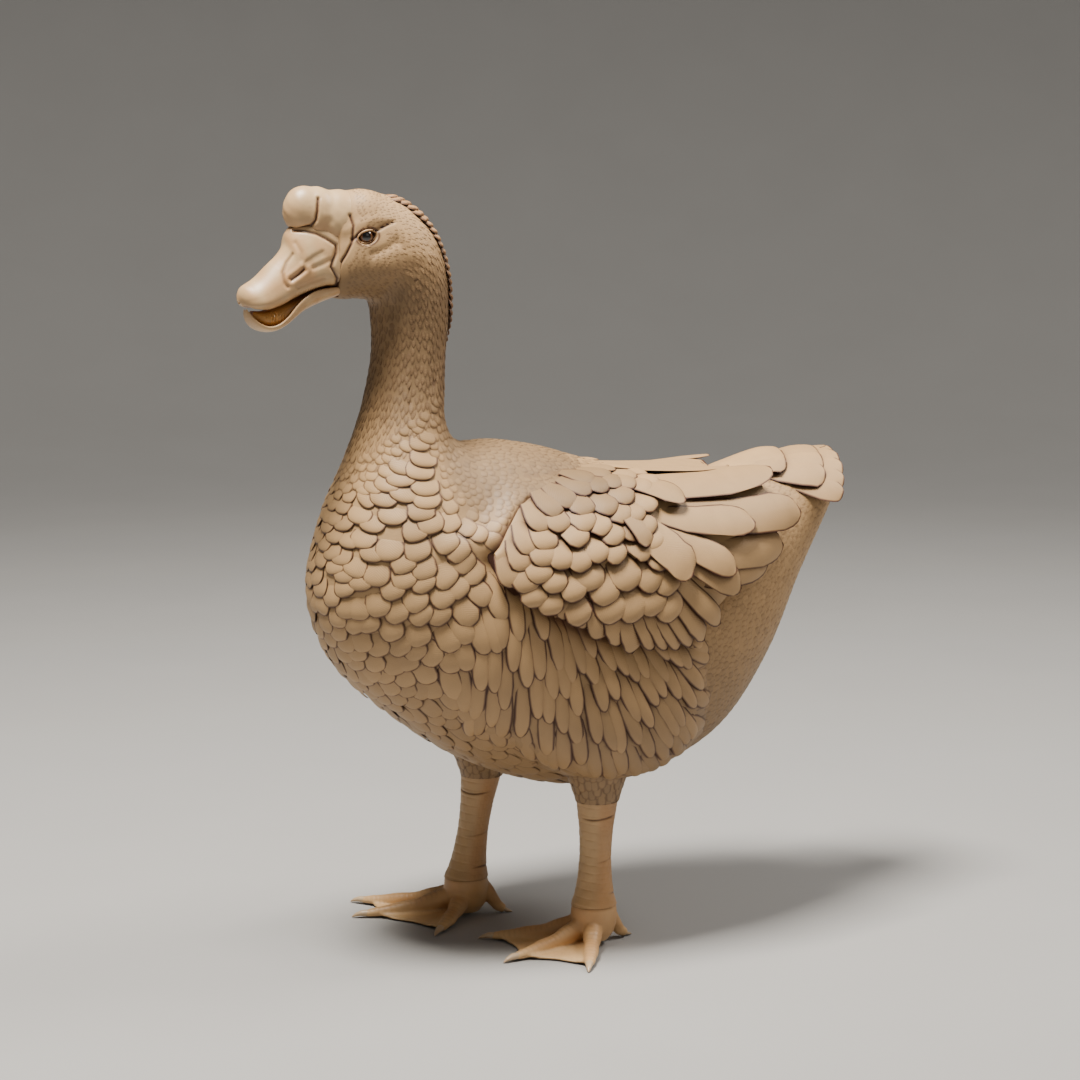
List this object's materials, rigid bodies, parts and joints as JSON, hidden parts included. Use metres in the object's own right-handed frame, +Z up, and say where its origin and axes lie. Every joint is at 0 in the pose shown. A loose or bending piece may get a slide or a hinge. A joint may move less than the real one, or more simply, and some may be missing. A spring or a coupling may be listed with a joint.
{
  "type": "brown chinese goose",
  "caption": "Life-size standing Chinese goose with a knobbed bill, upright neck, folded wings, fanned tail and webbed feet, as a still museum model.",
  "frame": {"origin": "middle of the bounds in plan, on the floor that the feet stand on", "axes": "+Z up; -Y is the way the goose faces, from tail to bill; +X is the goose's left side"},
  "size_m": [0.2842, 0.5652, 0.648],
  "materials": {
    "feather": "soft tan to brown plumage with paler edges",
    "horn": "smooth horn of bill and knob, satin",
    "leg_skin": "scaly skin of legs and webs, satin",
    "claw": "pale horn, satin",
    "eye": "dark brown, glossy",
    "mouth": "moist inner mouth and tongue"
  },
  "bodies": {
    "root": {"torso": "feather", "neck_lower": "feather", "neck_upper": "feather", "head": "feather", "tail": "feather", "wing_left": "feather", "wing_right": "feather", "thigh_left": "feather", "thigh_right": "feather", "bill_upper": "horn", "bill_lower": "horn", "knob": "horn", "shank_left": "leg_skin", "shank_right": "leg_skin", "foot_left": "leg_skin", "foot_right": "leg_skin", "claw_left_inner": "claw", "claw_left_middle": "claw", "claw_left_outer": "claw", "claw_left_hind": "claw", "claw_right_inner": "claw", "claw_right_middle": "claw", "claw_right_outer": "claw", "claw_right_hind": "claw", "eye_left": "eye", "eye_right": "eye", "tongue": "mouth"}
  },
  "joints": []
}
